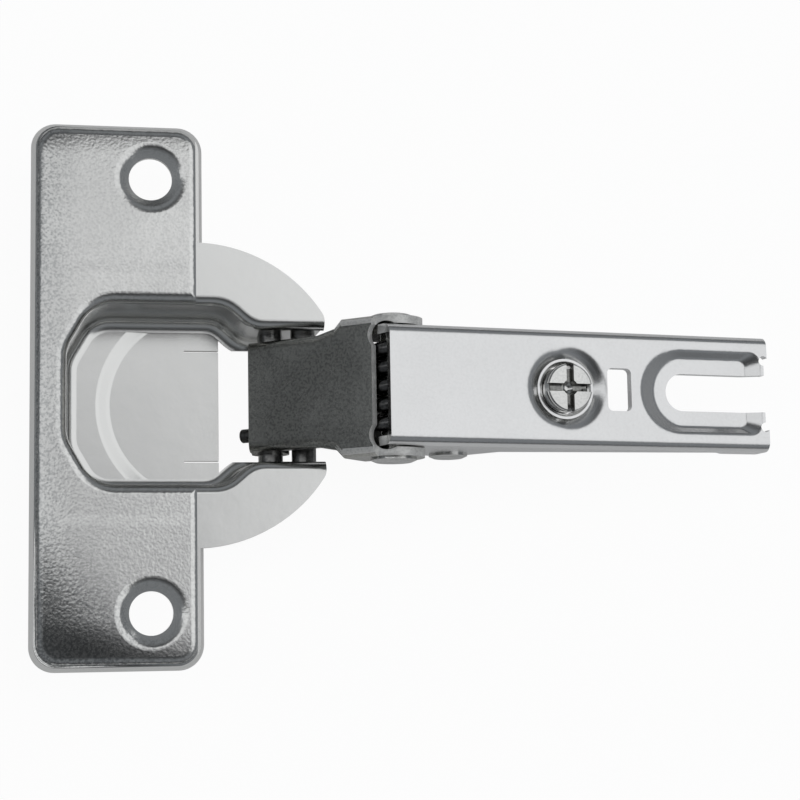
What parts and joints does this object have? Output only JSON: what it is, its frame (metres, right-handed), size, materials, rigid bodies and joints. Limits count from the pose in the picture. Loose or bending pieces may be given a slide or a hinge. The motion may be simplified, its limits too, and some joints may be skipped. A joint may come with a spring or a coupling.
{
  "type": "concealed cup hinge",
  "caption": "Concealed cabinet hinge of nickel-plated steel with a boring-in cup, screw-on flange, linkage and slide-on arm, modelled fully open",
  "frame": {"origin": "axis of the cup's 35 mm boring, on the face of the door that the flange seats on", "axes": "+X from the cup towards the arm with the hinge open, +Y along the flange, +Z out of the door"},
  "size_m": [0.0901, 0.0654, 0.0237],
  "materials": {
    "satin_nickel": "satin nickel plate",
    "dark_steel": "dark satin plate",
    "bright_steel": "bright zinc plate",
    "black_wire": "oiled black spring wire"
  },
  "bodies": {
    "cup": {"hinge_cup": "satin_nickel", "outer_cup_pin": "bright_steel", "inner_cup_pin": "bright_steel"},
    "outer_link": {"outer_link": "dark_steel", "outer_arm_rivet": "bright_steel", "closing_spring": "black_wire"},
    "arm": {"hinge_arm": "satin_nickel", "inner_arm_rivet": "bright_steel"},
    "inner_link": {"inner_link": "dark_steel"},
    "adjusting_screw": {"adjusting_screw": "bright_steel"}
  },
  "joints": [
    {"name": "close", "type": "hinge", "parent": "cup", "child": "outer_link", "pos_m": [0.0097, 0, -0.0047], "axis": [0, -1, 0], "range_deg": [0, 141.1]},
    {"name": "arm_fold", "type": "hinge", "parent": "outer_link", "child": "arm", "pos_m": [0.0228, 0, 0.0068], "axis": [0, -1, 0], "range_deg": [-43.15, 0]},
    {"name": "inner_swing", "type": "hinge", "parent": "cup", "child": "inner_link", "pos_m": [0.0137, 0, -0.0039], "axis": [0, -1, 0], "range_deg": [0, 142.5]},
    {"name": "adjust", "type": "hinge", "parent": "arm", "child": "adjusting_screw", "pos_m": [0.0432, 0, 0.00393], "axis": [0.1392, 0, 0.9903], "continuous": true}
  ],
  "couplings": [
    {"joint": "arm_fold", "follows": "close", "ratio": -0.30546},
    {"joint": "inner_swing", "follows": "close", "ratio": 1.0092}
  ]
}
